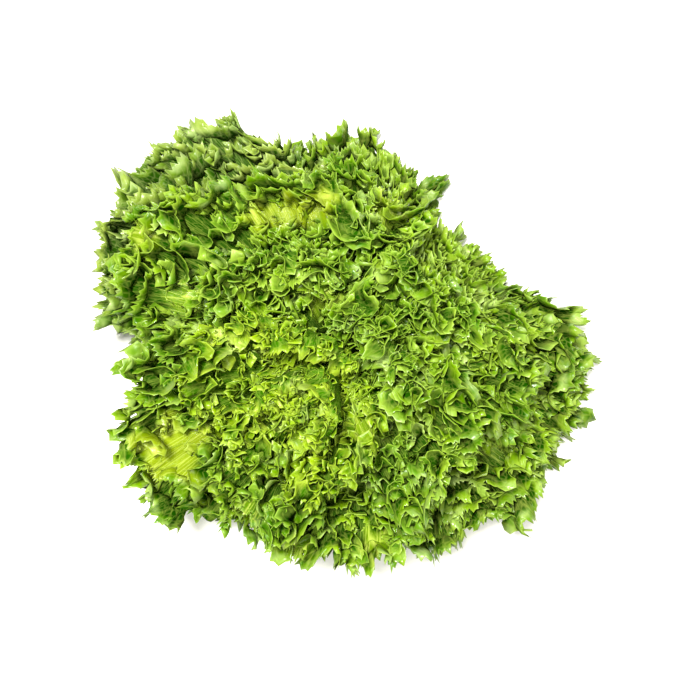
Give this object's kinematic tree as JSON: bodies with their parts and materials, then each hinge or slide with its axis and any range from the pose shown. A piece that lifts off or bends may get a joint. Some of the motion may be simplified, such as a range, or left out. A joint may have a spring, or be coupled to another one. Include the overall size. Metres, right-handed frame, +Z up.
{
  "type": "frilled iceberg lettuce head",
  "caption": "Cut head of frilled iceberg lettuce: toothed, curled leaves in three whorls on a short cut stem.",
  "frame": {"origin": "centre of the stem's flat cut face, on the surface that the head rests on", "axes": "+Z up out of the surface, +X towards the head's widest reach, the picture's right; +Y the picture's top"},
  "size_m": [0.2912, 0.262, 0.115],
  "materials": {
    "outer_leaf_green": "waxy, half matt",
    "middle_leaf_green": "fresh, slightly glossy",
    "heart_leaf_green": "fresh, slightly glossy",
    "stem_flesh": "moist cut flesh"
  },
  "bodies": {
    "root": {"stem": "stem_flesh", "outer_leaf_01": "outer_leaf_green", "outer_leaf_02": "outer_leaf_green", "outer_leaf_03": "outer_leaf_green", "outer_leaf_04": "outer_leaf_green", "outer_leaf_05": "outer_leaf_green", "outer_leaf_06": "outer_leaf_green", "outer_leaf_07": "outer_leaf_green", "outer_leaf_08": "outer_leaf_green", "outer_leaf_09": "outer_leaf_green", "outer_leaf_10": "outer_leaf_green", "middle_leaf_01": "middle_leaf_green", "middle_leaf_02": "middle_leaf_green", "middle_leaf_03": "middle_leaf_green", "middle_leaf_04": "middle_leaf_green", "middle_leaf_05": "middle_leaf_green", "middle_leaf_06": "middle_leaf_green", "middle_leaf_07": "middle_leaf_green", "middle_leaf_08": "middle_leaf_green", "middle_leaf_09": "middle_leaf_green", "middle_leaf_10": "middle_leaf_green", "middle_leaf_11": "middle_leaf_green", "heart_leaf_01": "heart_leaf_green", "heart_leaf_02": "heart_leaf_green", "heart_leaf_03": "heart_leaf_green", "heart_leaf_04": "heart_leaf_green", "heart_leaf_05": "heart_leaf_green", "heart_leaf_06": "heart_leaf_green", "heart_leaf_07": "heart_leaf_green"}
  },
  "joints": []
}
